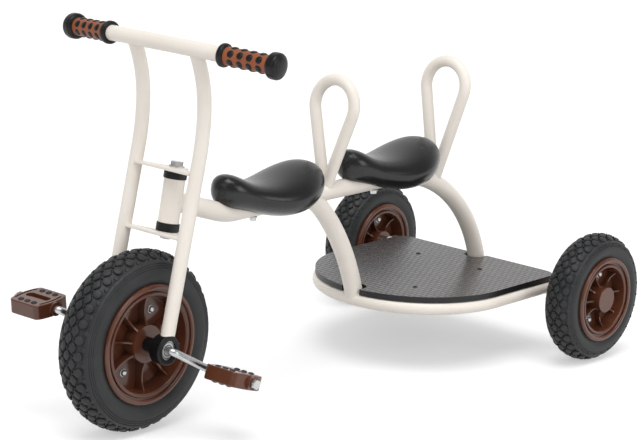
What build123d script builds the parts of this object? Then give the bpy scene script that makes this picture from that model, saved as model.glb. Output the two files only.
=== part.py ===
"""Two-seat tricycle with a rear step, as separate pieces in one frame.

Millimetres. +X forward, +Y to the rider's left, +Z up. The origin is on the ground under the
middle of the outer box.
"""
import os
from math import asin, cos, degrees, radians, sin, sqrt, tan

from build123d import *

os.makedirs("parts", exist_ok=True)

# Wheels
wheelbase = 774.0
front_r = 130.0
rear_r = 101.0
rear_y = 227.5
wheels = {
    "front": dict(half_w=32.5, tyre_h=44.0, lip_w=32.0, band_w=16.0, hub_r=27.0, hub_w=25.0, bolt_deg=121.5),
    "rear": dict(half_w=26.2, tyre_h=34.5, lip_w=27.4, band_w=15.5, hub_r=20.0, hub_w=26.0, bolt_deg=106.6),
}
bead_h = 6.0
flange_t = 4.0
lip_edge = 1.0
lip_face = 3.0
groove_h = 2.0
band_dip = 4.0
inner_lip_t = 2.0
inner_lip_step = 3.0
web_t = 7.0
rib_t = 2.4
rib_below_lip = 9.0
rib_dip = 6.0
cap_t = 3.0

# Clearances
run_gap = 0.3
side_gap = 0.6
journal_end_gap = 7.5

# Frame tubes
main_d = 28.0
main_bend_r = 82.0
main_slope = 46.2
main_foot_slope = 75.5
neck_len = 95.0
neck_slope = 18.0
neck_bend_r = 120.0
rear_tube_d = 27.0
rear_bend_r = 247.0
rear_slope = 27.2
rear_foot_slope = 78.2
tube_wall = 3.0
stub_len = 30.0
collar_w = 12.5
journal_d = 12.0

# Upright loops
loop_d = 18.0
loop_h = 167.3
loop_lean = 7.0
loop_bow = 38.2

# Step
rim_tube_d = 20.0
rim_tube_r = 155.0
step_len = 156.0
board_t = 9.0
board_lip = 6.0
board_corner = 24.0
foot_in = 5.0
foot_gap = 3.5

# Saddles: how far the tail is behind the bend of its tube, and the loop behind the tail
saddles = {
    "front": dict(tail_back=42.8, loop_back=21.5),
    "rear": dict(tail_back=92.8, loop_back=12.3),
}
# Columns: distance ahead of the tail, half width, underside and top above the tube's middle
saddle_rows = (
    (0.0, 9.0, 14.0, 36.5),
    (7.0, 23.0, 7.5, 46.5),
    (18.0, 37.0, -0.5, 54.8),
    (36.0, 50.0, -9.5, 58.0),
    (64.0, 61.0, -16.7, 50.3),
    (96.0, 60.0, -15.2, 40.8),
    (128.0, 51.5, -7.2, 39.3),
    (158.0, 42.0, 1.8, 45.3),
    (184.0, 33.0, 9.8, 53.8),
    (202.0, 19.0, 17.3, 51.8),
    (212.0, 6.0, 24.3, 39.3),
)

# Steering
head_over_tyre = 60.0
head_lead = 23.5
head_deg = 9.8
head_half = 43.0
head_d = 30.0
bush_h = 12.0
bush_d = 33.0
pivot_d = 10.0
plate_t = 4.0
plate_gap = 0.4
plate_lip = 4.0
plate_edge = 1.0
plate_corner = 6.0
washer_t = 2.0
leg_d = 20.0
leg_y = 59.5
leg_over_tyre = 136.0
leg_slope = 12.3
leg_bow_r = 312.0
leg_top_r = 189.0
leg_top_deg = 27.7
bar_d = 22.0
bar_half = 196.0
bar_straight = 80.0
bar_sweep = 8.3
bar_droop = 17.0
bar_bend_r = 60.0
grip_d = 25.5
grip_len = 70.0
ring_d = 33.0
ring_w = 10.0
end_d = 37.0
end_w = 18.0
end_cover = 10.0
housing_in = 2.0
housing_d = 42.0
housing_w = 19.0
bearing_d = 27.0
bearing_recess = 2.0

# Crank and pedals
crank_d = 11.0
crank_len = 71.3
crank_deg = 210.0
crank_bend_r = 7.0
crank_gap = 9.0
crank_splay = 11.5
spacer_d = 21.0
pedal_gap = 6.5
pedal_len = 68.0
pedal_w = 60.0
pedal_t = 21.0
pedal_bow = 7.0
pedal_corner = 9.0
trough_len = 45.0
trough_w = 14.0
end_slot_w = 3.5
end_slot_len = 38.0
end_wall = 4.0
barrel_d = 15.0
pedal_collar_d = 20.0
pedal_collar_w = 3.0
pedal_boss_d = 19.0
pedal_boss_w = 5.0
thread_d = 8.0
pedal_nut_d = 14.0
nut_d = 18.0
nut_w = 6.0


def travel(radius, start, end):
    """Distance back and distance down along an arc, between two slopes in degrees."""
    back = radius * (sin(radians(end)) - sin(radians(start)))
    down = radius * (cos(radians(start)) - cos(radians(end)))
    return back, down


def long_radius(drop, bend_r, slope, foot_slope):
    """Radius of a tube's long arc, so that it follows the bend and ends at the full drop."""
    return (drop - travel(bend_r, 0, slope)[1]) / travel(1, slope, foot_slope)[1]


# Places that follow from the sizes
x_rear = (rear_r - front_r - wheelbase) / 2
x_front = x_rear + wheelbase
head_z = 2 * front_r + head_over_tyre
head_x = x_front - (head_z - front_r) * tan(radians(leg_slope)) - head_lead
bar_z = head_z - neck_len * sin(radians(neck_slope)) - travel(neck_bend_r, 0, neck_slope)[1]
rim_tube_z = rear_r + main_d / 2 - rim_tube_d / 2
board_z = rim_tube_z + rim_tube_d / 2
board_cx = x_rear + step_len
board_r = rim_tube_r + board_lip
hub_w, rear_hub_w = wheels["front"]["hub_w"], wheels["rear"]["hub_w"]
axle_half = rear_y - rear_hub_w - side_gap - collar_w

main_foot_x = board_cx + rim_tube_r - foot_in
main_long_r = long_radius(bar_z - rim_tube_z, main_bend_r, main_slope, main_foot_slope)
main_bend_x = (
    main_foot_x + travel(main_bend_r, 0, main_slope)[0] + travel(main_long_r, main_slope, main_foot_slope)[0]
)
rear_long_r = long_radius(bar_z - rear_r, rear_bend_r, rear_slope, rear_foot_slope)
rear_bend_x = (
    x_rear + travel(rear_bend_r, 0, rear_slope)[0] + travel(rear_long_r, rear_slope, rear_foot_slope)[0]
)
tail_x = {
    "front": main_bend_x - saddles["front"]["tail_back"],
    "rear": rear_bend_x - saddles["rear"]["tail_back"],
}

leg_len = front_r + leg_over_tyre
leg_back, leg_up = leg_len * sin(radians(leg_slope)), leg_len * cos(radians(leg_slope))
grip_bar = (
    x_front - leg_back - travel(leg_bow_r, 0, leg_slope)[1] + travel(leg_top_r, 0, leg_top_deg)[1],
    front_r + leg_up + travel(leg_bow_r, 0, leg_slope)[0] + travel(leg_top_r, 0, leg_top_deg)[0],
)
housing_y = leg_y - housing_in
crank_in_y = housing_y + housing_w / 2 + crank_gap
crank_out_y = crank_in_y + crank_splay
pedal_y = crank_out_y + pedal_gap + pedal_collar_w + pedal_len / 2
crank_end_y = pedal_y + pedal_len / 2 + pedal_boss_w

head_up = (-sin(radians(head_deg)), 0, cos(radians(head_deg)))
head_plane = Plane(origin=(head_x, 0, head_z), x_dir=(0, 1, 0), z_dir=head_up)
along_y = (90, 0, 0)


def save(piece, name):
    piece.part.label = name
    export_step(piece.part, f"parts/{name}.step")


def round_rim(piece, radius):
    """Rounds the widest circular edges of a turned piece."""
    fillet(piece.edges().filter_by(GeomType.CIRCLE).group_by(SortBy.RADIUS)[-1], radius)


# Rear axle tube and stub axles
with BuildPart() as axle_tube:
    with Locations(Location((x_rear, 0, rear_r), along_y)):
        Cylinder(main_d / 2, 2 * axle_half)
        Cylinder(main_d / 2 - tube_wall, 2 * axle_half, mode=Mode.SUBTRACT)
save(axle_tube, "axle_tube")

journal_len = rear_y + rear_hub_w - journal_end_gap - axle_half
for name, side in (("left_stub_axle", 1), ("right_stub_axle", -1)):
    # Columns: start from the end of the axle tube, length, diameter
    steps = (
        (-stub_len, stub_len, main_d - 2 * tube_wall),
        (0, collar_w, main_d - tube_wall),
        (0, journal_len, journal_d),
    )
    with BuildPart() as stub:
        for start, length, diameter in steps:
            with Locations(Location((x_rear, side * (axle_half + start + length / 2), rear_r), along_y)):
                Cylinder(diameter / 2, length)
    save(stub, name)

# Tube under the rim of the step, seated on the axle tube
with BuildPart() as rim_tube:
    with BuildLine(Plane.XY.offset(rim_tube_z)) as rim_run:
        side_run = Line((x_rear, rim_tube_r), (board_cx, rim_tube_r))
        front_run = JernArc(side_run @ 1, side_run % 1, rim_tube_r, -180)
        Line(front_run @ 1, (x_rear, -rim_tube_r))
    with BuildSketch(Plane(rim_run.line @ 0, z_dir=rim_run.line % 0)):
        Circle(rim_tube_d / 2)
    sweep(path=rim_run.line)
    with Locations(Location((x_rear, 0, rear_r), along_y)):
        Cylinder(main_d / 2, 2 * rear_y, mode=Mode.SUBTRACT)
save(rim_tube, "rim_tube")

# Main tube: from the head, under the front saddle, down to the front of the step
with BuildPart() as main_tube:
    with BuildLine(Plane.XZ) as main_run:
        neck = PolarLine((head_x, head_z), neck_len, 180 + neck_slope)
        rise = JernArc(neck @ 1, neck % 1, neck_bend_r, -neck_slope)
        flat = Line(rise @ 1, (main_bend_x, bar_z))
        bend = JernArc(flat @ 1, flat % 1, main_bend_r, main_slope)
        JernArc(bend @ 1, bend % 1, main_long_r, main_foot_slope - main_slope)
    with BuildSketch(Plane(main_run.line @ 0, z_dir=main_run.line % 0)):
        Circle(main_d / 2)
    sweep(path=main_run.line)
    with Locations(Location(head_plane)):
        Cylinder(head_d / 2, 3 * head_half, mode=Mode.SUBTRACT)
    add(rim_tube.part, mode=Mode.SUBTRACT)
save(main_tube, "main_tube")

# Rear tube: from the back of the main tube, under the rear saddle, down to the axle tube
with BuildPart() as rear_tube:
    with BuildLine(Plane.XZ) as rear_run:
        flat = Line((main_bend_x - main_d, bar_z), (rear_bend_x, bar_z))
        bend = JernArc(flat @ 1, flat % 1, rear_bend_r, rear_slope)
        JernArc(bend @ 1, bend % 1, rear_long_r, rear_foot_slope - rear_slope)
    with BuildSketch(Plane(rear_run.line @ 0, z_dir=rear_run.line % 0)):
        Circle(rear_tube_d / 2)
    sweep(path=rear_run.line)
    add(main_tube.part, mode=Mode.SUBTRACT)
    with Locations(Location((x_rear, 0, rear_r), along_y)):
        Cylinder(main_d / 2, 2 * rear_y, mode=Mode.SUBTRACT)
save(rear_tube, "rear_tube")

# Upright loops behind the saddles, their feet on the rear tube
for name, saddle in saddles.items():
    foot_x = tail_x[name] - saddle["loop_back"]
    past_bend = max(rear_bend_x - foot_x, 0)
    foot_z = bar_z - rear_bend_r + sqrt(rear_bend_r**2 - past_bend**2)
    lean = radians(loop_lean)
    loop_plane = Plane(origin=(foot_x, 0, foot_z), x_dir=(0, 1, 0), z_dir=(cos(lean), 0, sin(lean)))
    rise = (bar_z + loop_h - foot_z) / cos(lean)
    splay = asin(loop_bow / (rise - loop_bow))
    with BuildPart() as loop:
        with BuildLine(loop_plane) as loop_run:
            up = PolarLine((0, 0), loop_bow / tan(splay), 90 - degrees(splay))
            JernArc(up @ 1, up % 1, loop_bow, 90 + degrees(splay))
        with BuildSketch(Plane(loop_run.line @ 0, z_dir=loop_run.line % 0)):
            Circle(loop_d / 2)
        sweep(path=loop_run.line)
        mirror(about=Plane.XZ)
        add(rear_tube.part, mode=Mode.SUBTRACT)
    save(loop, f"{name}_loop")

# Step board, notched round the feet of the two tubes
with BuildPart() as board:
    with BuildSketch(Plane.XY.offset(board_z)):
        with BuildLine():
            left_edge = Line((x_rear, board_r), (board_cx, board_r))
            nose = JernArc(left_edge @ 1, left_edge % 1, board_r, -180)
            right_edge = Line(nose @ 1, (x_rear, -board_r))
            Line(right_edge @ 1, left_edge @ 0)
        make_face()
        notch = main_d / 2 + foot_gap
        for end_x, mouth_x in ((main_foot_x, board_cx + board_r), (x_rear + notch / 2, x_rear)):
            with Locations((end_x, 0)):
                Circle(notch, mode=Mode.SUBTRACT)
            with Locations(((end_x + mouth_x) / 2, 0)):
                Rectangle(abs(mouth_x - end_x), 2 * notch, mode=Mode.SUBTRACT)
    extrude(amount=board_t)
    back_edges = board.edges().filter_by(Axis.Z).group_by(Axis.X)[0].sort_by(Axis.Y)
    fillet([back_edges[0], back_edges[-1]], board_corner)
save(board, "step_board")

# Saddles, hollowed from below to sit over the tubes
for name, tail in tail_x.items():
    with BuildPart() as seat:
        for ahead, half_w, low, top in saddle_rows:
            with BuildSketch(Plane.YZ.offset(tail + ahead)):
                with Locations((0, bar_z + (low + top) / 2)):
                    Ellipse(half_w, (top - low) / 2)
        loft()
        add(main_tube.part, mode=Mode.SUBTRACT)
        add(rear_tube.part, mode=Mode.SUBTRACT)
        saddle_len = saddle_rows[-1][0]
        with Locations((tail + saddle_len / 2, 0, bar_z - main_d)):
            Box(2 * saddle_len, main_d, 2 * main_d, mode=Mode.SUBTRACT)
    save(seat, f"{name}_seat")

# Head tube and its two bushes
with BuildPart() as head_tube:
    with BuildSketch(head_plane):
        Circle(head_d / 2)
        Circle(head_d / 2 - tube_wall, mode=Mode.SUBTRACT)
    extrude(amount=head_half - bush_h, both=True)
save(head_tube, "head_tube")

for name, sign in (("upper_bush", 1), ("lower_bush", -1)):
    with BuildPart(head_plane) as bush:
        with Locations((0, 0, sign * (head_half - bush_h / 2))):
            Cylinder(bush_d / 2, bush_h)
        with Locations((0, 0, sign * (head_half - 1.5 * bush_h))):
            Cylinder(head_d / 2 - tube_wall, bush_h)
        with Locations((0, 0, sign * head_half)):
            Cylinder(pivot_d / 2 + run_gap, 6 * bush_h, mode=Mode.SUBTRACT)
        round_rim(bush, 1.2)
    save(bush, name)

# Fork legs, seated on the bar above and on the housings below
legs = {}
for name, side in (("left_leg", 1), ("right_leg", -1)):
    with BuildPart() as leg:
        with BuildLine(Plane.XZ.offset(-side * leg_y)) as leg_run:
            lower = PolarLine((x_front, front_r), leg_len, 90 + leg_slope)
            bow = JernArc(lower @ 1, lower % 1, leg_bow_r, -leg_slope)
            JernArc(bow @ 1, bow % 1, leg_top_r, -leg_top_deg)
        with BuildSketch(Plane(leg_run.line @ 0, z_dir=leg_run.line % 0)):
            Circle(leg_d / 2)
        sweep(path=leg_run.line)
        with Locations(Location((grip_bar[0], 0, grip_bar[1]), along_y)):
            Cylinder(bar_d / 2, 2 * bar_half, mode=Mode.SUBTRACT)
        with Locations(Location((x_front, side * leg_y, front_r), along_y)):
            Cylinder(housing_d / 2, 2 * leg_d, mode=Mode.SUBTRACT)
    save(leg, name)
    legs[name] = leg

# Handlebar, straight between the legs and swept back and down at the grips
droop = radians(bar_droop)
bar_plane = Plane(origin=(grip_bar[0], 0, grip_bar[1]), x_dir=(0, 1, 0), z_dir=(-sin(droop), 0, cos(droop)))
sweep_along, sweep_back = cos(radians(bar_sweep)), sin(radians(bar_sweep))
swept_len = bar_half - bar_straight
bar_end = (bar_straight + swept_len * sweep_along, swept_len * sweep_back)
with BuildPart() as handlebar:
    with BuildLine(bar_plane) as bar_run:
        FilletPolyline(
            (-bar_end[0], bar_end[1]), (-bar_straight, 0), (bar_straight, 0), bar_end, radius=bar_bend_r,
        )
    with BuildSketch(Plane(bar_run.line @ 0, z_dir=bar_run.line % 0)):
        Circle(bar_d / 2)
        Circle(bar_d / 2 - tube_wall, mode=Mode.SUBTRACT)
    sweep(path=bar_run.line)
save(handlebar, "handlebar")

# Cross plates, square to the steering axis, and the pivot bolt through them
plate_front = head_lead + plate_lip
plate_back = bush_d / 2 + plate_edge
plate_low = head_half + plate_gap
for name, level in (("upper_plate", plate_low), ("lower_plate", -plate_low - plate_t)):
    with BuildPart() as plate:
        with BuildSketch(head_plane.offset(level)):
            with Locations((0, (plate_back - plate_front) / 2)):
                RectangleRounded(2 * leg_y, plate_front + plate_back, plate_corner)
            Circle(pivot_d / 2, mode=Mode.SUBTRACT)
        extrude(amount=plate_t)
        for leg in legs.values():
            add(leg.part, mode=Mode.SUBTRACT)
    save(plate, name)

bolt_seat = plate_low + plate_t
with BuildPart(head_plane) as pivot_bolt:
    Cylinder(pivot_d / 2, 2 * (bolt_seat + nut_w + 1))
    with Locations((0, 0, bolt_seat + washer_t / 2)):
        Cylinder(nut_d / 2 + washer_t, washer_t)
    with BuildSketch(head_plane.offset(bolt_seat + washer_t)):
        RegularPolygon(nut_d / 2, 6)
    extrude(amount=nut_w)
save(pivot_bolt, "pivot_bolt")

with BuildPart() as pivot_nut:
    with BuildSketch(head_plane.offset(-bolt_seat - nut_w)):
        RegularPolygon(nut_d / 2, 6)
        Circle(pivot_d / 2, mode=Mode.SUBTRACT)
    extrude(amount=nut_w)
save(pivot_nut, "pivot_nut")

# Bearing housings, bearings, hub spacers and grips
for side_name, side in (("left", 1), ("right", -1)):
    with BuildPart() as housing:
        with Locations(Location((x_front, side * housing_y, front_r), along_y)):
            Cylinder(housing_d / 2, housing_w)
            Cylinder(bearing_d / 2, housing_w, mode=Mode.SUBTRACT)
        round_rim(housing, 2)
    save(housing, f"{side_name}_housing")

    with BuildPart() as bearing:
        with Locations(Location((x_front, side * housing_y, front_r), along_y)):
            Cylinder(bearing_d / 2, housing_w - 2 * bearing_recess)
            Cylinder(crank_d / 2 + run_gap, housing_w, mode=Mode.SUBTRACT)
    save(bearing, f"{side_name}_bearing")

    spacer_len = housing_y - housing_w / 2 - side_gap - hub_w
    with BuildPart() as spacer:
        with Locations(Location((x_front, side * (hub_w + spacer_len / 2), front_r), along_y)):
            Cylinder(spacer_d / 2, spacer_len)
            Cylinder(crank_d / 2, spacer_len, mode=Mode.SUBTRACT)
    save(spacer, f"{side_name}_spacer")

    grip_plane = Plane(
        origin=bar_plane.from_local_coords((side * bar_straight, 0, 0)),
        z_dir=bar_plane.from_local_coords((side * sweep_along, sweep_back, 0)) - bar_plane.origin,
    )
    grip_out = swept_len - end_cover
    with BuildPart(grip_plane) as grip:
        with Locations((0, 0, grip_out - grip_len / 2)):
            Cylinder(grip_d / 2, grip_len)
            Cylinder(bar_d / 2, grip_len, mode=Mode.SUBTRACT)
    save(grip, f"{side_name}_grip")

    with BuildPart(grip_plane) as ring:
        with Locations((0, 0, grip_out - grip_len - ring_w / 2)):
            Cylinder(ring_d / 2, ring_w)
            Cylinder(bar_d / 2, ring_w, mode=Mode.SUBTRACT)
        round_rim(ring, ring_w * 0.4)
    save(ring, f"{side_name}_grip_ring")

    with BuildPart(grip_plane) as grip_end:
        with Locations((0, 0, grip_out + end_w / 2)):
            Cylinder(end_d / 2, end_w)
        with Locations((0, 0, swept_len - end_cover / 2)):
            Cylinder(bar_d / 2, end_cover, mode=Mode.SUBTRACT)
        round_rim(grip_end, end_w / 3)
    save(grip_end, f"{side_name}_grip_cap")

# Crank: one bent rod through the front wheel
crank_x, crank_z = cos(radians(crank_deg)), sin(radians(crank_deg))
crank_plane = Plane(origin=(x_front, 0, front_r), x_dir=(0, 1, 0), z_dir=(crank_z, 0, -crank_x))


def on_pin(side, out):
    """Place on the pin of one side's pedal, at a distance out from the middle of the wheel."""
    return x_front + side * crank_len * crank_x, side * out, front_r + side * crank_len * crank_z


with BuildPart() as crank:
    with BuildLine(crank_plane) as crank_run:
        FilletPolyline(
            (-crank_end_y, -crank_len), (-crank_out_y, -crank_len), (-crank_in_y, 0),
            (crank_in_y, 0), (crank_out_y, crank_len), (crank_end_y, crank_len), radius=crank_bend_r,
        )
    with BuildSketch(Plane(crank_run.line @ 0, z_dir=crank_run.line % 0)):
        Circle(crank_d / 2)
    sweep(path=crank_run.line)
    for side in (1, -1):
        with Locations(Location(on_pin(side, crank_end_y + nut_w / 2), along_y)):
            Cylinder(thread_d / 2, nut_w + 2 * side_gap)
save(crank, "crank")

# Pedals. Columns: name, side, tilt of the tread
for name, side, tilt in (("left_pedal", 1, -18), ("right_pedal", -1, 6)):
    pin = on_pin(side, pedal_y)
    tread = Plane(Location(pin, (0, tilt, 0)))
    upright = Axis(pin, tread.z_dir)
    straight = pedal_len / 2 - pedal_bow
    with BuildPart() as pedal:
        with BuildSketch(tread.offset(-pedal_t / 2)):
            with BuildLine():
                for end in (1, -1):
                    Line((end * pedal_w / 2, -straight), (end * pedal_w / 2, straight))
                    ThreePointArc(
                        (pedal_w / 2, end * straight),
                        (0, end * pedal_len / 2),
                        (-pedal_w / 2, end * straight),
                    )
            outline = make_face()
            fillet(outline.vertices(), pedal_corner)
        extrude(amount=pedal_t)
        faces = pedal.faces().sort_by(upright)
        fillet(faces[0].edges() + faces[-1].edges(), pedal_t / 12)
        with BuildSketch(tread):
            SlotOverall(trough_len, trough_w, rotation=90)
            for end in (1, -1):
                slot_y = pedal_len / 2 - end_wall - end_slot_w / 2
                slot_dip = pedal_bow * (end_slot_len / pedal_w) ** 2
                with BuildLine() as slot_run:
                    ThreePointArc(
                        (end_slot_len / 2, end * (slot_y - slot_dip)), (0, end * slot_y),
                        (-end_slot_len / 2, end * (slot_y - slot_dip)),
                    )
                SlotArc(slot_run.wire(), end_slot_w)
        extrude(amount=pedal_t, both=True, mode=Mode.SUBTRACT)
        # Columns: start and end along the pin, outwards from the pedal's middle, and diameter
        half = pedal_len / 2
        for start, stop, diameter in (
            (-half - pedal_collar_w, half + pedal_boss_w, barrel_d),
            (-half - pedal_collar_w, -half + end_wall / 2, pedal_collar_d),
            (half - end_wall / 2, half + pedal_boss_w, pedal_boss_d),
        ):
            with Locations(Location((pin[0], pin[1] + side * (start + stop) / 2, pin[2]), along_y)):
                Cylinder(diameter / 2, stop - start)
        with Locations(Location(pin, along_y)):
            Cylinder(crank_d / 2 + run_gap, 2 * pedal_len, mode=Mode.SUBTRACT)
    save(pedal, name)

with BuildPart() as pedal_nuts:
    for side in (1, -1):
        with BuildSketch(Plane(origin=on_pin(side, crank_end_y + side_gap), z_dir=(0, side, 0))):
            RegularPolygon(pedal_nut_d / 2, 6)
            Circle(thread_d / 2, mode=Mode.SUBTRACT)
        extrude(amount=nut_w)
save(pedal_nuts, "pedal_nuts")

# Ribs on one side of a rim's line of bolts, in degrees from that line
rib_degs = (30, 70, 110, 150)


def tyre_section(size, outer, lip_r):
    half_w, lip_w, tyre_h = size["half_w"], size["lip_w"], size["tyre_h"]
    tread_w, tread_r = 0.75 * half_w, outer - 0.2 * tyre_h
    ThreePointArc((tread_w, tread_r), (0, outer), (-tread_w, tread_r))
    for sign in (1, -1):
        shoulder = ThreePointArc(
            (sign * tread_w, tread_r),
            (sign * 0.93 * half_w, outer - 0.38 * tyre_h),
            (sign * half_w, outer - 0.62 * tyre_h),
        )
        wall = Line(shoulder @ 1, (sign * (lip_w - flange_t), lip_r))
        Line(wall @ 1, (sign * (lip_w - 1.5 * flange_t), lip_r - bead_h))
    bead_w = lip_w - 1.5 * flange_t
    Line((-bead_w, lip_r - bead_h), (bead_w, lip_r - bead_h))


def rim_section(size, lip_r, bore, sign):
    lip_w, hub_r, hub_w = size["lip_w"], size["hub_r"], size["hub_w"]
    well_r = lip_r - size["band_w"]
    groove_r = lip_r - lip_edge - lip_face
    inner_w = lip_w - groove_h
    points = (
        (0, lip_r - bead_h), (lip_w - 1.5 * flange_t, lip_r - bead_h), (lip_w - flange_t, lip_r),
        (lip_w - lip_edge, lip_r), (lip_w, lip_r - lip_edge), (lip_w, groove_r + lip_edge),
        (inner_w, groove_r), (lip_w - band_dip, well_r + inner_lip_step), (inner_w, well_r + inner_lip_t),
        (inner_w, well_r), (web_t / 2 + lip_edge, well_r - inner_lip_step), (web_t / 2, hub_r),
        (hub_w, hub_r), (hub_w, bore), (0, bore),
    )
    Polyline(*[(sign * across, out) for across, out in points], close=True)


def rib_section(size, well_r):
    """A rib from hub to rim, its two free edges dipped in the middle."""
    inner, free_w = size["hub_r"] - 1, size["lip_w"] - rib_below_lip
    half_way = (inner + well_r) / 2
    for sign in (1, -1):
        ThreePointArc((inner, sign * free_w), (half_way, sign * (free_w - rib_dip)), (well_r, sign * free_w))
    for radius in (inner, well_r):
        Line((radius, -free_w), (radius, free_w))


# Wheels. Columns: name, kind, centre, outer radius, bore radius
for name, kind, centre, outer, bore in (
    ("front", "front", (x_front, 0, front_r), front_r, crank_d / 2),
    ("rear_left", "rear", (x_rear, rear_y, rear_r), rear_r, journal_d / 2 + run_gap),
    ("rear_right", "rear", (x_rear, -rear_y, rear_r), rear_r, journal_d / 2 + run_gap),
):
    size = wheels[kind]
    lip_r = outer - size["tyre_h"]
    axle = Axis(centre, (0, 1, 0))
    section = Plane(origin=centre, x_dir=(0, 1, 0), z_dir=(1, 0, 0))
    with BuildPart() as tyre:
        with BuildSketch(section):
            with BuildLine():
                tyre_section(size, outer, lip_r)
            make_face()
        revolve(axis=axle)
    save(tyre, f"{name}_tyre")

    with BuildPart() as rim:
        with BuildSketch(section):
            for sign in (1, -1):
                with BuildLine():
                    rim_section(size, lip_r, bore, sign)
                make_face()
        revolve(axis=axle)
        for turn in (0, 180):
            for deg in rib_degs:
                angle = radians(size["bolt_deg"] + turn + deg)
                out = (cos(angle), 0, sin(angle))
                with BuildSketch(Plane(origin=centre, x_dir=out, z_dir=(-sin(angle), 0, cos(angle)))):
                    with BuildLine():
                        rib_section(size, lip_r - size["band_w"])
                    make_face()
                extrude(amount=rib_t / 2, both=True)
    save(rim, f"{name}_rim")

    if kind == "rear":
        side = 1 if centre[1] > 0 else -1
        with BuildPart() as cap:
            with Locations(Location((x_rear, side * (rear_y + rear_hub_w + cap_t / 2), rear_r), along_y)):
                Cylinder(size["hub_r"], cap_t)
            fillet(cap.faces().sort_by(Axis.Y)[-1 if side > 0 else 0].edges(), cap_t / 3)
        save(cap, f"{name}_cap")
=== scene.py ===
"""Two-seat tricycle with a rear step: saddles, tread, fastenings and finishes round the CAD frame.

Metres. +X forward, +Y to the rider's left, +Z up.
"""
from math import asin, cos, pi, radians, sin

import bmesh
import bpy
from mathutils import Matrix, Vector


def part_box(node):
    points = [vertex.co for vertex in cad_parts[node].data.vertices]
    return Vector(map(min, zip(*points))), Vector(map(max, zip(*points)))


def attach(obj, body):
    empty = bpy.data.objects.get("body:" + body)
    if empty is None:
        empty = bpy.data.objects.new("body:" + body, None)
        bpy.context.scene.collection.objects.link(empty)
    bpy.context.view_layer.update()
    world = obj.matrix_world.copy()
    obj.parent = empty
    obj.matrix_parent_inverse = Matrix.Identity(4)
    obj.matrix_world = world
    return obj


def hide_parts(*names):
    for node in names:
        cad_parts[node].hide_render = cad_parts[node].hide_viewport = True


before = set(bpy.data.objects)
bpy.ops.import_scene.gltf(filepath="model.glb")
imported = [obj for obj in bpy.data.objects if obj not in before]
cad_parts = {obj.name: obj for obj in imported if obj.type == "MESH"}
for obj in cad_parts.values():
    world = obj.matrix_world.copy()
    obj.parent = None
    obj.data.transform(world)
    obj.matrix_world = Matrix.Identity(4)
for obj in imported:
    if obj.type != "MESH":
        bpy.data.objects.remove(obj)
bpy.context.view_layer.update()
mm = 0.001


def middle(node):
    """The middle of a CAD node's box."""
    low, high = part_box(node)
    return (low + high) / 2


# Kinds of wheel, and places read from the frame
wheels = {"front": ("front",), "rear": ("rear_left", "rear_right")}
axles = {wheel: middle(wheel + "_tyre") for kind in wheels for wheel in wheels[kind]}
seat_tube_r = 13.5 * mm
seat_tube_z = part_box("rear_tube")[1].z - seat_tube_r
board_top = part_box("step_board")[1].z

# The other side of a piece that is modelled round the origin
mirror = Matrix.Diagonal((1, -1, 1, 1))


# Handling of meshes
def clear_selection():
    """Leaves nothing selected, so that an operator acts only on what comes next."""
    bpy.ops.object.select_all(action="DESELECT")


def begin(name, add, **how):
    """Adds a primitive at its size and place, puts its place in its mesh and opens it for editing."""
    clear_selection()
    add(**how)
    piece = bpy.context.object
    piece.name = name
    piece.data.name = name
    bpy.ops.object.transform_apply(location=True, rotation=True, scale=True)
    bpy.ops.object.mode_set(mode="EDIT")
    bpy.ops.mesh.select_mode(type="VERT")
    bpy.ops.mesh.select_all(action="SELECT")
    return piece


def pick(kind, wanted):
    """Selects only the vertices or faces whose place and normal are wanted."""
    bpy.ops.mesh.select_mode(type=kind)
    bpy.ops.mesh.select_all(action="DESELECT")
    mesh = bmesh.from_edit_mesh(bpy.context.object.data)
    if kind == "VERT":
        for vert in mesh.verts:
            vert.select = wanted(vert.co, vert.normal)
    else:
        for face in mesh.faces:
            face.select = wanted(face.calc_center_median(), face.normal)
    mesh.select_flush_mode()
    bmesh.update_edit_mesh(bpy.context.object.data)


def pick_top(least=0.9):
    """Selects the faces that look up."""
    pick("FACE", lambda at, normal: normal.z > least)


def extrude(step):
    """Draws the selected faces out by a step."""
    bpy.ops.mesh.extrude_region_move(TRANSFORM_OT_translate={"value": step})


def extrude_point(step):
    """Draws an edge out from the selected point."""
    bpy.ops.mesh.extrude_vertices_move(TRANSFORM_OT_translate={"value": step})


def close_edit(smooth_deg):
    """Merges doubles, turns the faces outwards and leaves edit mode with soft shading."""
    bpy.ops.mesh.select_all(action="SELECT")
    bpy.ops.mesh.remove_doubles(threshold=0.01 * mm)
    bpy.ops.mesh.normals_make_consistent(inside=False)
    bpy.ops.object.mode_set(mode="OBJECT")
    bpy.ops.object.shade_smooth_by_angle(angle=radians(smooth_deg))


def apply_modifier(piece, kind, **settings):
    """Adds a modifier and applies it, which leaves the piece as the active object."""
    clear_selection()
    piece.select_set(True)
    bpy.context.view_layer.objects.active = piece
    modifier = piece.modifiers.new(kind.lower(), kind)
    for key, value in settings.items():
        setattr(modifier, key, value)
    bpy.ops.object.modifier_apply(modifier=modifier.name)


def cut(piece, cutter):
    """Takes a closed cutter out of a piece."""
    apply_modifier(piece, "BOOLEAN", object=cutter, operation="DIFFERENCE", solver="EXACT")
    bpy.data.objects.remove(cutter)


def copied(piece, name, place):
    """A copy with its own mesh, moved by a matrix."""
    twin = piece.copy()
    twin.data = piece.data.copy()
    twin.name = name
    twin.data.name = name
    twin.data.transform(place)
    if place.determinant() < 0:
        twin.data.flip_normals()
    bpy.context.scene.collection.objects.link(twin)
    return twin


def joined(name, pieces):
    """Several pieces made one."""
    clear_selection()
    for piece in pieces:
        piece.select_set(True)
    bpy.context.view_layer.objects.active = pieces[0]
    bpy.ops.object.join()
    whole = bpy.context.object
    whole.name = name
    whole.data.name = name
    return whole


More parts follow.
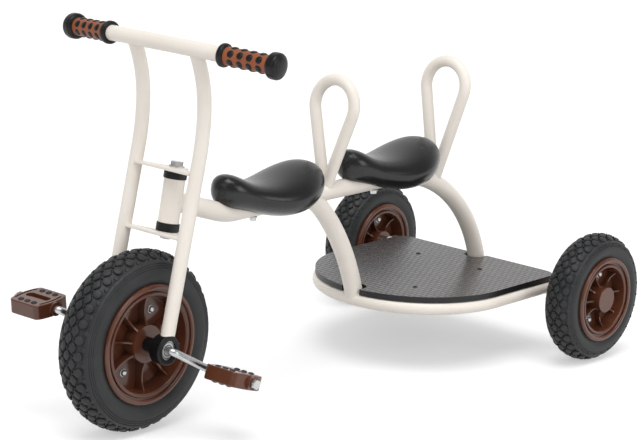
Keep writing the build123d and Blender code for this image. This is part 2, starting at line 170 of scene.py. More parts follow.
def turned_about(point, angle, axis):
    """A turn about an axis through a point."""
    away, back = Matrix.Translation(point), Matrix.Translation(-Vector(point))
    return away @ Matrix.Rotation(angle, 4, axis) @ back


def facing(point, outward):
    """Sets a piece that points up at the origin on a point, pointing outwards."""
    turn = Vector(outward).to_track_quat("Z", "Y").to_matrix().to_4x4()
    return Matrix.Translation(point) @ turn


def lathe(name, profile, steps, smooth_deg):
    """Draws a closed profile of (across, out) from one point, and spins it about the Y axis."""
    piece = begin(name, bpy.ops.mesh.primitive_plane_add, size=mm)
    bpy.ops.mesh.merge(type="CENTER")
    across, out = profile[0]
    bpy.ops.transform.translate(value=(0, across, out))
    for (across, out), (next_across, next_out) in zip(profile, profile[1:] + profile[:1]):
        extrude_point((0, next_across - across, next_out - out))
    bpy.ops.mesh.select_all(action="SELECT")
    bpy.ops.mesh.spin(steps=steps, angle=2 * pi, center=(0, 0, 0), axis=(0, 1, 0))
    close_edit(smooth_deg)
    return piece


def dress(piece, body, slot):
    """Rides the piece on its body and gives it a slot's finish."""
    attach(piece, body)
    piece.data.materials.clear()
    piece.data.materials.append(finishes[slot])


def fit_to_wheels(kind, pattern, ending, slot, replaced=None):
    """Puts a copy of a piece that is modelled round the origin on each wheel of a kind."""
    for wheel in wheels[kind]:
        piece = copied(pattern, wheel + ending, Matrix.Translation(axles[wheel]))
        if replaced:
            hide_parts(wheel + replaced)
        dress(piece, wheel + "_wheel_body", slot)
    bpy.data.objects.remove(pattern)


# Finishes. A pattern of blotches is spread over the middle of its range
blotch_low, blotch_high = 0.3, 0.7


def paint(red, green, blue):
    """A colour as it shows on a screen, in the renderer's own scale."""
    return tuple(((c / 255 + 0.055) / 1.055) ** 2.4 for c in (red, green, blue)) + (1,)


def grey(level):
    """A grey in the renderer's own scale."""
    return (level, level, level, 1)


def new_finish(name, rough, **sockets):
    """A material, its nodes, its shader and the place on the piece."""
    material = bpy.data.materials.new(name)
    material.use_nodes = True
    tree = material.node_tree
    shader = tree.nodes["Principled BSDF"]
    shader.inputs["Roughness"].default_value = rough
    for socket, value in sockets.items():
        shader.inputs[socket.replace("_", " ")].default_value = value
    spot = tree.nodes.new("ShaderNodeTexCoord").outputs["Object"]
    return material, tree, shader, spot


def feed(tree, value, socket):
    """Gives a socket a number, or links another socket to it."""
    if isinstance(value, (int, float)):
        socket.default_value = value
    else:
        tree.links.new(value, socket)


def arithmetic(tree, operation, first, second):
    """A value worked out from two numbers or sockets."""
    node = tree.nodes.new("ShaderNodeMath")
    node.operation = operation
    feed(tree, first, node.inputs[0])
    feed(tree, second, node.inputs[1])
    return node.outputs[0]


def speckle(tree, spot, size):
    """Soft blotches of about the given size."""
    node = tree.nodes.new("ShaderNodeTexNoise")
    node.inputs["Scale"].default_value = 1 / size
    node.inputs["Detail"].default_value = 3.0
    tree.links.new(spot, node.inputs["Vector"])
    return node.outputs["Fac"]


def shades(tree, amount, dark, light, low=blotch_low, high=blotch_high):
    """Two shades, the dark one up to the low amount and the light one from the high amount."""
    ramp = tree.nodes.new("ShaderNodeValToRGB")
    ramp.color_ramp.elements[0].position = low
    ramp.color_ramp.elements[0].color = dark
    ramp.color_ramp.elements[1].position = high
    ramp.color_ramp.elements[1].color = light
    tree.links.new(amount, ramp.inputs["Fac"])
    return ramp.outputs["Color"]


def spread(tree, amount, low, high):
    """A value that goes from low to high over the middle of a pattern."""
    node = tree.nodes.new("ShaderNodeMapRange")
    node.inputs["From Min"].default_value = blotch_low
    node.inputs["From Max"].default_value = blotch_high
    node.inputs["To Min"].default_value = low
    node.inputs["To Max"].default_value = high
    tree.links.new(amount, node.inputs["Value"])
    return node.outputs["Result"]


def relief(tree, shader, height, depth):
    """Fine relief of the given depth."""
    node = tree.nodes.new("ShaderNodeBump")
    node.inputs["Strength"].default_value = 1.0
    node.inputs["Distance"].default_value = depth
    tree.links.new(height, node.inputs["Height"])
    tree.links.new(node.outputs["Normal"], shader.inputs["Normal"])


def plain_finish(name, dark, light, blotch, rough, grain, depth, **sockets):
    """Two near shades in soft blotches, uneven gloss between two roughnesses, and a fine grain."""
    material, tree, shader, spot = new_finish(name, rough[0], **sockets)
    cloud = speckle(tree, spot, blotch)
    tree.links.new(shades(tree, cloud, dark, light), shader.inputs["Base Color"])
    tree.links.new(spread(tree, cloud, *rough), shader.inputs["Roughness"])
    relief(tree, shader, speckle(tree, spot, grain), depth)
    return material


# The step's film. Sizes of its studs in mm, before the rows are drawn out to twice their height
film_studs_and_painted_glint = {
    # The studs' two colours are lighter than the grooves' colour: a painted highlight of glints on the
    # stud tops
    "Color1": paint(70, 67, 66),
    "Color2": paint(84, 81, 80),
    "Mortar": paint(30, 29, 29),
    "Scale": 1 / mm,
    "Brick Width": 10.0,
    "Row Height": 4.6,
    "Mortar Size": 0.7,
    "Mortar Smooth": 0.7,
}
film_edge = paint(13, 13, 13)
film_depth = 0.12 * mm
groove_rough, stud_rough = 0.42, 0.25


def board_finish():
    """Dark film with rows of low pressed studs on the two faces, lighter by a painted highlight, and a
    sealed black edge.
    """
    material, tree, shader, spot = new_finish("film_faced_board", groove_rough)
    turned = tree.nodes.new("ShaderNodeMapping")
    turned.inputs["Rotation"].default_value = (0, 0, radians(90))
    turned.inputs["Scale"].default_value = (0.5, 1, 1)
    tree.links.new(spot, turned.inputs["Vector"])
    studs = tree.nodes.new("ShaderNodeTexBrick")
    for socket, value in film_studs_and_painted_glint.items():
        studs.inputs[socket].default_value = value
    tree.links.new(turned.outputs["Vector"], studs.inputs["Vector"])

    # Only on faces that look up or down
    normal = tree.nodes.new("ShaderNodeSeparateXYZ")
    geometry = tree.nodes.new("ShaderNodeNewGeometry")
    tree.links.new(geometry.outputs["Normal"], normal.inputs["Vector"])
    flat = arithmetic(tree, "MULTIPLY", normal.outputs["Z"], normal.outputs["Z"])
    low = arithmetic(tree, "MULTIPLY", flat, studs.outputs["Fac"])
    high = arithmetic(tree, "SUBTRACT", flat, low)
    relief(tree, shader, high, film_depth)
    rough = spread(tree, high, groove_rough, stud_rough)
    tree.links.new(rough, shader.inputs["Roughness"])

    # The colour sockets of a Mix node share their names with its other sockets, so they go by number
    mix = tree.nodes.new("ShaderNodeMix")
    mix.data_type = "RGBA"
    mix.inputs[6].default_value = film_edge
    tree.links.new(flat, mix.inputs[0])
    # Painted highlight: the studs' lighter colour goes on the faces that look up or down
    tree.links.new(studs.outputs["Color"], mix.inputs[7])
    tree.links.new(mix.outputs[2], shader.inputs["Base Color"])
    return material


# Two shades, size of the blotches, range of roughness, size and depth of the grain
finishes = {
    "cream_paint": plain_finish(
        "cream_powder_coat", paint(234, 226, 216), paint(240, 233, 224), 90 * mm,
        (0.34, 0.42), 1.6 * mm, 0.02 * mm,
    ),
    "zinc_steel": plain_finish(
        "zinc_plate", paint(188, 190, 192), paint(208, 209, 208), 12 * mm,
        (0.24, 0.38), 0.8 * mm, 0.01 * mm, Metallic=1.0,
    ),
    "tyre": plain_finish(
        "tyre_rubber", paint(41, 42, 43), paint(52, 53, 54), 30 * mm,
        (0.42, 0.54), 0.9 * mm, 0.05 * mm, Specular_IOR_Level=0.3,
    ),
    "brown_plastic": plain_finish(
        "brown_moulding", paint(86, 49, 34), paint(96, 56, 39), 35 * mm,
        (0.14, 0.21), 1.2 * mm, 0.02 * mm,
    ),
    "caramel_grip": plain_finish(
        "caramel_rubber", paint(137, 71, 37), paint(150, 80, 43), 15 * mm,
        (0.45, 0.58), 0.7 * mm, 0.04 * mm,
    ),
    "dark_board": board_finish(),
    "black_foam": plain_finish(
        "black_foam_skin", paint(19, 19, 20), paint(24, 24, 25), 45 * mm,
        (0.23, 0.29), 0.6 * mm, 0.02 * mm,
    ),
    "black_plastic": plain_finish(
        "black_moulding", paint(16, 16, 17), paint(21, 21, 21), 20 * mm,
        (0.30, 0.40), 0.8 * mm, 0.02 * mm, Specular_IOR_Level=0.3,
    ),
}


def finish_cad_nodes():
    """Gives each CAD node the finish of its own slot."""
    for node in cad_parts.values():
        node.data.materials[0] = finishes[node.data.materials[0].name.split(".")[0]]


# Saddles. Columns, in mm: distance from the tail, half width, underside and top from the tube's middle
saddle_rows = (
    (0.0, 9.0, 13.0, 36.5),
    (7.0, 23.0, 5.5, 46.5),
    (18.0, 37.0, -3.0, 54.8),
    (36.0, 50.0, -12.5, 58.0),
    (64.0, 61.0, -20.0, 50.3),
    (96.0, 60.0, -19.0, 40.3),
    (128.0, 50.0, -11.0, 37.6),
    (156.0, 38.0, -2.5, 43.3),
    (180.0, 33.0, 3.5, 56.5),
    (199.0, 26.0, 8.5, 58.5),
    (212.0, 8.0, 20.0, 44.0),
)
# Shoulders of a ring of radius 1. Columns: least distance out and up, growth
saddle_shoulders = ((0.6, 1.045), (0.3, 1.02))
shoulder_span = 0.2
channel_r = 14.5 * mm


def draw_saddle():
    """Rings drawn out from the tail to the nose, and rounded."""
    rows = [[size * mm for size in row] for row in saddle_rows]
    x, width, low, top = rows[0]
    saddle = begin(
        "saddle", bpy.ops.mesh.primitive_circle_add, vertices=16, radius=1, rotation=(0, pi / 2, 0),
    )
    # A flatter top: the vertices at its shoulders move out
    for share, grow in saddle_shoulders:
        pick("VERT", lambda at, normal: share < min(abs(at.y), at.z) < share + shoulder_span)
        bpy.ops.transform.resize(value=(1, grow, grow), center_override=(0, 0, 0))
    bpy.ops.mesh.select_all(action="SELECT")
    bpy.ops.transform.resize(value=(1, width, (top - low) / 2), center_override=(0, 0, 0))
    bpy.ops.transform.translate(value=(x, 0, (low + top) / 2))
    bpy.ops.mesh.edge_face_add()
    for row in rows[1:]:
        grow = (1, row[1] / width, (row[3] - row[2]) / (top - low))
        extrude((row[0] - x, 0, (row[2] + row[3] - low - top) / 2))
        x, width, low, top = row
        bpy.ops.transform.resize(value=grow, center_override=(x, 0, (low + top) / 2))
    close_edit(40)
    apply_modifier(saddle, "SUBSURF", levels=2, render_levels=2)
    return saddle


def hollow_saddle(saddle):
    """Cuts a channel from below, to sit over the tube."""
    length = saddle_rows[-1][0] * mm
    channel = begin(
        "saddle_channel", bpy.ops.mesh.primitive_cylinder_add, vertices=30, radius=channel_r,
        depth=2 * length, location=(length / 2, 0, 0), rotation=(0, pi / 2, 0),
    )
    pick("VERT", lambda at, normal: at.z < -channel_r / 2)
    bpy.ops.transform.translate(value=(0, 0, -4 * channel_r))
    close_edit(40)
    cut(saddle, channel)
    bpy.ops.object.mode_set(mode="EDIT")
    close_edit(50)


def fit_saddles():
    """Two saddles of one shape, each where its solid is."""
    pattern = draw_saddle()
    hollow_saddle(pattern)
    for name in ("front", "rear"):
        node = name + "_seat"
        place = Matrix.Translation((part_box(node)[0].x, 0, seat_tube_z))
        saddle = copied(pattern, name + "_saddle", place)
        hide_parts(node)
        dress(saddle, "frame_body", "black_foam")
    bpy.data.objects.remove(pattern)


# Tyres. Phase is the angle of one block of the middle row, in degrees from ahead, upwards
tyres = {
    "front": dict(
        blocks=34, row_gap=9.1 * mm, phase=23.0, tyre_h=44 * mm, lip_w=28 * mm, bead=6 * mm,
    ),
    "rear": dict(
        blocks=30, row_gap=8.2 * mm, phase=40.5, tyre_h=34.5 * mm, lip_w=23.4 * mm, bead=6 * mm,
    ),
}
# Where the crown's arc ends: share of the half width, share of the tyre's height down from the top
crown_edge, crown_drop = 0.75, 0.2
# The share of that arc that the grooves' floor follows, and its depth
floor_share, groove = 0.92, 3.6 * mm
bead_gap, bead_taper = 0.4 * mm, 2 * mm
# Side wall with three fine ridges. Columns: share of the half width, share of the height from the top
side_wall = (
    (0.80, 0.250), (0.845, 0.280),
    (0.876, 0.290), (0.902, 0.336), (0.876, 0.344),
    (0.908, 0.354), (0.932, 0.402), (0.906, 0.410),
    (0.936, 0.420), (0.958, 0.470), (0.936, 0.478),
    (0.964, 0.490), (0.986, 0.56), (1.0, 0.64), (0.988, 0.75), (0.95, 0.87),
)
block_foot = 5.0 * mm
block_gap = 3.1 * mm
# A block's rings from its foot to its top. Columns: share of the rise, share of the width that is kept
block_rings = ((0.70, 0.94), (0.18, 0.87), (0.12, 0.60))
# A small round block's half width, as a share of the pitch
small_half = 0.30
# Columns: row out from the middle, lengthwise and sideways share of a small block, share of its height
shoulder_rows = ((2.98, 0.58, 0.60, 0.95), (3.55, 0.34, 0.30, 0.85))
# The stud where the grooves meet: share of a small block, share of its height
junction, junction_h = 0.20, 0.9
wheel_steps = 96


def tyre_sizes(kind):
    """Half width, outer radius and the radius of the crown's arc, from the tyre's solid."""
    low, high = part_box(wheels[kind][0] + "_tyre")
    half_w, outer = (high.y - low.y) / 2, (high.z - low.z) / 2
    edge_w, edge_h = crown_edge * half_w, crown_drop * tyres[kind]["tyre_h"]
    return half_w, outer, (edge_w**2 + edge_h**2) / (2 * edge_h)


def carcass_profile(kind):
    """One side of the section from the crown down to the bead, then the other side back up."""
    size = tyres[kind]
    half_w, outer, crown_r = tyre_sizes(kind)
    lip_r = outer - size["tyre_h"]
    floor_r = crown_r - groove
    end = floor_share * asin(crown_edge * half_w / crown_r)
    side = []
    for step in range(5):
        angle = end * step / 4
        side.append((floor_r * sin(angle), outer - groove - floor_r * (1 - cos(angle))))
    for share, drop in side_wall:
        side.append((share * half_w, outer - drop * size["tyre_h"]))
    side.append((size["lip_w"], lip_r + bead_gap))
    side.append((size["lip_w"] - bead_taper, lip_r - size["bead"] + bead_gap))
    return side + [(-across, out) for across, out in side[:0:-1]]


def tread_block(top, corners, half_long, half_wide):
    """A block with rounded corners, upright sides and a slightly domed top."""
    foot = (0, 0, top - block_foot)
    block = begin(
        "tread_block", bpy.ops.mesh.primitive_circle_add, vertices=corners, radius=1, location=foot,
    )
    bpy.ops.transform.resize(value=(half_long, half_wide, 1), center_override=foot)
    rounding = 1.5 * half_long / corners
    bpy.ops.mesh.bevel(affect="VERTICES", offset=rounding, segments=12 // corners)
    bpy.ops.mesh.edge_face_add()
    for rise, keep in block_rings:
        extrude((0, 0, rise * block_foot))
        bpy.ops.transform.resize(value=(keep, keep, 1), center_override=(0, 0, top))
    close_edit(30)
    return block


def tread_pitch(kind):
    """One pitch of the tread: staggered blocks across the crown, small ones on the shoulders."""
    size = tyres[kind]
    outer, crown_r = tyre_sizes(kind)[1:]
    pitch, row_gap = 2 * pi / size["blocks"], size["row_gap"]
    long = pitch * outer
    slant = (long**2 + 4 * row_gap**2) ** 0.5
    half_long = long / 2 - block_gap * slant / (4 * row_gap)
    half_wide = row_gap - block_gap * slant / (2 * long)
    large = tread_block(outer, 4, half_long, half_wide)
    small = tread_block(outer, 8, small_half * long, small_half * long)

    # Columns: block, row, share of its size along and across, share of its height, pitches out of step
    rows = []
    for row in (-1, 0, 1):
        rows.append((large, row, 1, 1, 1, 0))
        rows.append((small, row, junction, junction, junction_h, 0.5))
    for sign in (1, -1):
        rows.append((small, 2 * sign, 1, 1, 1, 0))
        for row, along, across, height in shoulder_rows:
            rows.append((small, sign * row, along, across, height, 0))

    crown = Vector((0, 0, outer - crown_r))
    top = Matrix.Translation((0, 0, outer))
    blocks = []
    for block, row, along, across, height, shift in rows:
        lean = turned_about(crown, -row * row_gap / crown_r, "X")
        stagger = Matrix.Rotation(pitch * (round(row) % 2 / 2 + shift), 4, "Y")
        shrink = top @ Matrix.Diagonal((along, across, height, 1)) @ top.inverted()
        blocks.append(copied(block, "tread_row", stagger @ lean @ shrink))
    bpy.data.objects.remove(large)
    bpy.data.objects.remove(small)
    tread = joined("tread", blocks)
    tread.data.transform(Matrix.Rotation(radians(90 - size["phase"]), 4, "Y"))
    return tread


def mould_tyres():
    """A carcass with its tread all round, for each kind of wheel."""
    for kind, size in tyres.items():
        tread = tread_pitch(kind)
        bpy.ops.object.empty_add()
        turn = bpy.context.object
        turn.matrix_world = Matrix.Rotation(2 * pi / size["blocks"], 4, "Y")
        apply_modifier(
            tread, "ARRAY", count=size["blocks"], use_relative_offset=False,
            use_object_offset=True, offset_object=turn,
        )
        bpy.data.objects.remove(turn)
        tyre = joined("tyre", [tread, lathe("carcass", carcass_profile(kind), wheel_steps, 50)])
        bpy.ops.object.shade_smooth_by_angle(angle=radians(35))
        fit_to_wheels(kind, tyre, "_tread", "tyre", replaced="_tyre")


# Rolled edges of the rims. Columns: distance in from the lip, half width, rise, depth of the seat
flange_t = 4 * mm
rim_rolls = ((4.0 * mm, 3.4 * mm, 1.8 * mm, 0.4 * mm), (13.0 * mm, 2.6 * mm, 2.4 * mm, 3.0 * mm))


def roll_rims():
    """Half-round edges on both faces of each rim: one on the lip and one round the well."""
    for kind, size in tyres.items():
        lip_r = tyre_sizes(kind)[1] - size["tyre_h"]
        face = size["lip_w"] + flange_t
        rolls = []
        for inset, half, rise, sunk in rim_rolls:
            profile = []
            for step in range(9):
                angle = pi * step / 8
                across = face - sunk + rise * sin(angle)
                profile.append((across, lip_r - inset + half * cos(angle)))
            roll = lathe("rim_roll", profile, wheel_steps, 60)
            rolls += [roll, copied(roll, "rim_roll", mirror)]
        fit_to_wheels(kind, joined("rim_rolls", rolls), "_rim_rolls", "brown_plastic")


# Bolts. Columns for the rims: radius of the bolts' circle, angle of the first bolt from ahead, upwards
rim_bolts = {"front": (48.4 * mm, 121.5), "rear": (36.9 * mm, 106.6)}
rim_bolt = dict(sides=24, across=9.6 * mm, height=3.5 * mm, washer=1.0 * mm, rounding=0.3)
web_half = 3.5 * mm
saddle_bolts = (83 * mm, 140 * mm, -186 * mm, -129 * mm)
saddle_bolt = dict(sides=6, across=10 * mm, height=5 * mm, washer=1.5 * mm, rounding=0.14)
saddle_bolt_gap = 0.3 * mm
washer_share = 0.62


def bolt_head(name, sides, across, height, washer, rounding):
    """A head with a rounded top on a washer, its seat at the origin and its head up."""
    head = begin(
        name, bpy.ops.mesh.primitive_cylinder_add, vertices=sides, radius=across / 2, depth=height,
        location=(0, 0, washer + height / 2),
    )
    pick_top()
    bpy.ops.mesh.bevel(offset=rounding * across, segments=4)
    close_edit(30)
    disc = begin(
        "washer", bpy.ops.mesh.primitive_cylinder_add, vertices=24, radius=washer_share * across,
        depth=washer, location=(0, 0, washer / 2),
    )
    pick_top()
    bpy.ops.mesh.bevel(offset=0.3 * washer, segments=2)
    close_edit(30)
    return joined(name, [head, disc])


def bolt_rims():
    """Two bolts on each face of a rim, across from each other."""
    bolt = bolt_head("rim_bolt", **rim_bolt)
    for kind, (radius, first) in rim_bolts.items():
        bolts = []
        for side in (1, -1):
            for angle in (radians(first), radians(first + 180)):
                spot = (radius * cos(angle), side * web_half, radius * sin(angle))
                bolts.append(copied(bolt, "rim_bolt", facing(spot, (0, side, 0))))
        fit_to_wheels(kind, joined("rim_bolts", bolts), "_rim_bolts", "zinc_steel")
    bpy.data.objects.remove(bolt)


def bolt_saddles():
    """Two bolts under each saddle, below the tube."""
    bolt = bolt_head("saddle_bolt", **saddle_bolt)
    under = seat_tube_z - seat_tube_r - saddle_bolt_gap
    bolts = [copied(bolt, "saddle_bolt", facing((x, 0, under), (0, 0, -1))) for x in saddle_bolts]
    bpy.data.objects.remove(bolt)
    dress(joined("saddle_bolts", bolts), "frame_body", "zinc_steel")


# Braces between the fork legs, square to the steering axis. Columns: name, node, distance up the axis
head_centre, head_tilt = Vector((307.57, 0, 320)) * mm, radians(9.8)
braces = (("upper_brace", "upper_plate", 43.4 * mm), ("lower_brace", "lower_plate", -47.4 * mm))
brace_t, brace_round, pivot_r = 4 * mm, 17 * mm, 5 * mm
leg_ahead, brace_half, brace_end = 23.5 * mm, 53 * mm, 8 * mm
brace_bevel = 0.5 * mm
# The round end, in degrees from ahead
round_from, round_turn = -75, -210


def shape_brace():
    """A flat plate that narrows from the two legs to a round end, with the pivot's hole."""
    brace = begin("brace", bpy.ops.mesh.primitive_plane_add, size=mm)
    bpy.ops.mesh.merge(type="CENTER")
    # From the left of the front edge, clockwise from above, with the round end behind the pivot
    front, back = leg_ahead + brace_end, leg_ahead - brace_end
    corners = [(front, brace_half), (front, -brace_half), (back, -brace_half)]
    for step in range(9):
        angle = radians(round_from + round_turn * step / 8)
        corners.append((brace_round * cos(angle), brace_round * sin(angle)))
    corners.append((back, brace_half))
    bpy.ops.transform.translate(value=(*corners[0], 0))
    for (x, y), (next_x, next_y) in zip(corners, corners[1:]):
        extrude_point((next_x - x, next_y - y, 0))
    bpy.ops.mesh.select_all(action="SELECT")
    bpy.ops.mesh.edge_face_add()
    extrude((0, 0, brace_t))
    bpy.ops.mesh.select_all(action="SELECT")
    bpy.ops.mesh.normals_make_consistent(inside=False)
    pick("FACE", lambda at, normal: abs(normal.z) > 0.9)
    bpy.ops.mesh.bevel(offset=brace_bevel, segments=2)
    close_edit(30)
    hole = begin(
        "pivot_hole", bpy.ops.mesh.primitive_cylinder_add, vertices=32, radius=pivot_r,
        depth=6 * brace_t,
    )
    close_edit(30)
    cut(brace, hole)
    return brace


def fit_braces():
    """One brace above the head tube and one below it."""
    pattern = shape_brace()
    axis = Matrix.Translation(head_centre) @ Matrix.Rotation(-head_tilt, 4, "Y")
    for name, node, level in braces:
        brace = copied(pattern, name, axis @ Matrix.Translation((0, 0, level)))
        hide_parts(node)
        dress(brace, "fork_body", "cream_paint")
    bpy.data.objects.remove(pattern)


# Bearings. Columns: inner and outer radius of a gap, which a black ring fills as painted shade
bearing_gaps = ((6.9 * mm, 8.0 * mm), (10.9 * mm, 11.7 * mm))
gap_below, gap_above = 0.2 * mm, 0.15 * mm


def ring_bearings():
    """Black rings as painted shade in the gaps either side of the shield, on the outer face of each
    bearing.
    """
    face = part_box("left_bearing")[1].y - axles["front"].y
    inside, outside = face - gap_below, face + gap_above
    rings = []
    for inner, outer in bearing_gaps:
        profile = [(inside, inner), (outside, inner), (outside, outer), (inside, outer)]
        rings.append(lathe("bearing_gap", profile, 48, 30))
    pattern = joined("bearing_gaps", rings)
    axle = Matrix.Translation(axles["front"])
    for name, place in (("left", axle), ("right", axle @ mirror)):
        # Black rings that stand in for the shade inside the gaps
        dress(copied(pattern, name + "_bearing_gaps", place), "fork_body", "black_plastic")
    bpy.data.objects.remove(pattern)


# Grips
grip_r = 12.75 * mm
dots_along, dots_round = 4, 6
dot_pitch, dot_sunk = 15.5 * mm, 0.7 * mm
end_half, end_sunk = 9 * mm, 0.4 * mm
# Radius, flatness, and how far below its middle a stud is cut off
grip_dot = dict(radius=5.4 * mm, flat=0.40, below=1.2 * mm)
grip_end = dict(radius=14 * mm, flat=0.22, below=0.5 * mm)


def dome(name, radius, flat, below):
    """A soft round stud, pressed flat and cut off below its middle."""
    stud = begin(name, bpy.ops.mesh.primitive_uv_sphere_add, segments=20, ring_count=12, radius=radius)
    bpy.ops.transform.resize(value=(1, 1, flat), center_override=(0, 0, 0))
    bpy.ops.mesh.bisect(
        plane_co=(0, 0, -below), plane_no=(0, 0, 1), clear_inner=True, use_fill=True,
    )
    close_edit(40)
    return stud


def grip_line(name):
    """The middle of a grip's end cap, and the direction from its inner ring to that cap."""
    cap = middle(name + "_grip_cap")
    return cap, (cap - middle(name + "_grip_ring")).normalized()


def dot_grips():
    """Studs in rows round each grip, along the swept end of the bar."""
    pattern = dome("grip_dot", **grip_dot)
    for name in ("left", "right"):
        centre = middle(name + "_grip")
        along = grip_line(name)[1]
        ahead = (Vector((1, 0, 0)) - along * along.x).normalized()
        above = ahead.cross(along) if along.y < 0 else along.cross(ahead)
        dots = []
        for row in range(dots_round):
            angle = 2 * pi * (row + 0.5) / dots_round
            out = ahead * cos(angle) + above * sin(angle)
            for place in range(dots_along):
                step = (place - (dots_along - 1) / 2) * dot_pitch
                spot = centre + along * step + out * (grip_r - dot_sunk)
                dots.append(copied(pattern, "grip_dot", facing(spot, out)))
        dress(joined(name + "_grip_dots", dots), "fork_body", "black_plastic")
    bpy.data.objects.remove(pattern)


def round_grip_ends():
    """A shallow round end on each grip's cap."""
    pattern = dome("grip_end", **grip_end)
    for name in ("left", "right"):
        cap, along = grip_line(name)
        place = facing(cap + along * (end_half - end_sunk), along)
        dress(copied(pattern, name + "_grip_end", place), "fork_body", "black_plastic")
    bpy.data.objects.remove(pattern)


# Pedals. Columns: name, side, tilt of the tread
pedals = (("left_pedal", 1, -18), ("right_pedal", -1, 6))
pedal_y, pedal_half_t = 131 * mm, 10.5 * mm
pedal_stud = dict(radius=4.8 * mm, flat=0.55, below=0.8 * mm)
stud_pitch, stud_row, stud_sunk = 13.3 * mm, 20 * mm, 0.4 * mm


def stud_pedals():
    """Three rubber studs in a row on each tread plate, on both faces."""
    stud = dome("pedal_stud", **pedal_stud)
    for name, side, tilt in pedals:
        centre = middle(name)
        centre.y = side * pedal_y
        turn = turned_about(centre, radians(tilt), "Y")
        studs = []
        for face in (1, -1):
            for ahead in (-stud_row, stud_row):
                for place in (-stud_pitch, 0, stud_pitch):
                    spot = centre + Vector((ahead, place, face * (pedal_half_t - stud_sunk)))
                    studs.append(copied(stud, "pedal_stud", turn @ facing(spot, (0, 0, face))))
        dress(joined(name + "_studs", studs), name + "_body", "tyre")
    bpy.data.objects.remove(stud)


# Step. Columns: how far ahead and to the left a screw is
board_screws = (
    (-325 * mm, 63 * mm), (-325 * mm, -63 * mm), (-164 * mm, 63 * mm), (-164 * mm, -63 * mm),
)
screw_r, screw_h, screw_middle, screw_bevel = 4 * mm, 1 * mm, 0.3 * mm, 0.4 * mm
socket_rim, socket_depth = 1.6 * mm, 0.7 * mm


def screw_board():
    """Low round heads with a socket, standing just above the step."""
    screw = begin(
        "board_screw", bpy.ops.mesh.primitive_cylinder_add, vertices=24, radius=screw_r,
        depth=screw_h, location=(0, 0, screw_middle),
    )
    pick_top()
    bpy.ops.mesh.bevel(offset=screw_bevel, segments=2)
    pick_top(0.99)
    bpy.ops.mesh.inset(thickness=socket_rim)
    extrude((0, 0, -socket_depth))
    close_edit(30)
    heads = []
    for x, y in board_screws:
        heads.append(copied(screw, "board_screw", Matrix.Translation((x, y, board_top))))
    bpy.data.objects.remove(screw)
    dress(joined("board_screws", heads), "frame_body", "black_plastic")


# Camera, light and floor
camera_at = Vector((2.61983, 2.29663, 1.10281))
camera_aim = Vector((-0.00767, 0, 0.24220))
camera_roll = 0.0409
lens, sensor = 135.26, 36
# The light that the room gives, the grey that it shows, and the white backdrop beyond the tricycle
room_light, room_grey = 0.61, 0.32
backdrop_towards = (camera_aim - camera_at).normalized()
backdrop_white, backdrop_from = 1.0, 0.6
overhead_light, overhead_angle = 1.5, radians(40)
overhead_turn = (radians(-12), radians(14), 0)
# Columns: name, place, size, watts
softboxes = (("side_box", (-0.1, 2.4, 1.2), 1.2, 12), ("front_box", (2.4, 0.2, 1.6), 1.5, 6))
light_aim = Vector((0, 0, 0.25))
floor_size, floor_blotch = 60, 2.0
floor_dark, floor_pale, floor_glow = 0.64, 0.66, 0.45


def set_camera():
    """A long lens, ahead of the tricycle and to its left."""
    bpy.ops.object.camera_add(location=camera_at)
    camera = bpy.context.object
    look = (camera_aim - camera_at).to_track_quat("-Z", "Y").to_matrix()
    camera.rotation_euler = (look @ Matrix.Rotation(camera_roll, 3, "Z")).to_euler()
    camera.data.lens = lens
    camera.data.sensor_width = sensor
    bpy.context.scene.camera = camera


def seen_directly(tree):
    """1 where the camera, a reflection or a clear piece looks at it, 0 for the light that it gives."""
    rays = tree.nodes.new("ShaderNodeLightPath")
    whole = rays.outputs["Is Camera Ray"]
    for ray in ("Is Glossy Ray", "Is Transmission Ray"):
        whole = arithmetic(tree, "MAXIMUM", whole, rays.outputs[ray])
    return whole


def level_by_ray(tree, given, seen):
    """One level for the light that is given, and another where it is seen directly."""
    level = tree.nodes.new("ShaderNodeMapRange")
    feed(tree, given, level.inputs["To Min"])
    feed(tree, seen, level.inputs["To Max"])
    tree.links.new(seen_directly(tree), level.inputs["Value"])
    return level.outputs["Result"]


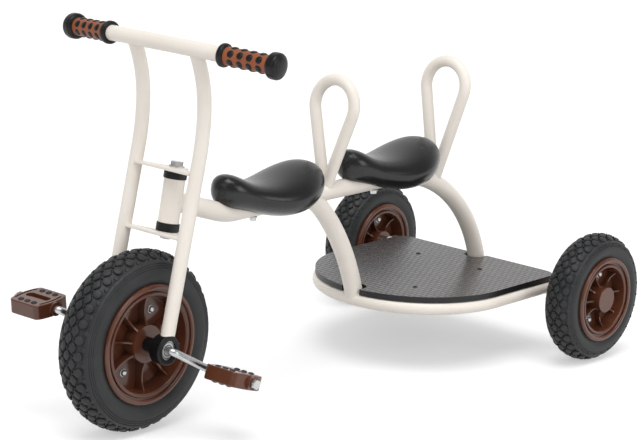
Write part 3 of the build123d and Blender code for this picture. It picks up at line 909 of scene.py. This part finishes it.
def light_room():
    """A pale backdrop in a dimmer room, with a wide soft light above and two softboxes."""
    world = bpy.data.worlds.new("studio")
    world.use_nodes = True
    bpy.context.scene.world = world
    tree = world.node_tree
    back = tree.nodes["Background"]
    back.inputs["Color"].default_value = grey(1)
    away = tree.nodes.new("ShaderNodeVectorMath")
    away.operation = "DOT_PRODUCT"
    away.inputs[1].default_value = backdrop_towards
    spot = tree.nodes.new("ShaderNodeTexCoord").outputs["Generated"]
    tree.links.new(spot, away.inputs[0])
    pale, dim = grey(backdrop_white), grey(room_grey)
    room = shades(tree, away.outputs["Value"], dim, pale, 0.0, backdrop_from)
    tree.links.new(level_by_ray(tree, room_light, room), back.inputs["Strength"])

    bpy.ops.object.light_add(type="SUN", rotation=overhead_turn)
    overhead = bpy.context.object
    overhead.name = "overhead"
    overhead.data.energy = overhead_light
    overhead.data.angle = overhead_angle
    for name, place, size, watts in softboxes:
        bpy.ops.object.light_add(type="AREA", location=place)
        softbox = bpy.context.object
        softbox.name = name
        softbox.data.size = size
        softbox.data.energy = watts
        softbox.rotation_euler = (light_aim - Vector(place)).to_track_quat("-Z", "Y").to_euler()


def lay_floor():
    """A plain pale floor that keeps the tricycle's shadow."""
    clear_selection()
    bpy.ops.mesh.primitive_plane_add(size=floor_size)
    floor = bpy.context.object
    floor.name = "floor"
    material, tree, shader, spot = new_finish("pale_floor", 0.9, Specular_IOR_Level=0.0)
    pale = shades(tree, speckle(tree, spot, floor_blotch), grey(floor_dark), grey(floor_pale))
    tree.links.new(pale, shader.inputs["Base Color"])
    shader.inputs["Emission Color"].default_value = grey(1)
    tree.links.new(level_by_ray(tree, 0.0, floor_glow), shader.inputs["Emission Strength"])
    floor.data.materials.append(material)


set_camera()
light_room()
lay_floor()
bpy.context.scene.view_settings.view_transform = "Standard"
finish_cad_nodes()
fit_saddles()
mould_tyres()
roll_rims()
bolt_rims()
bolt_saddles()
fit_braces()
ring_bearings()
dot_grips()
round_grip_ends()
stud_pedals()
screw_board()
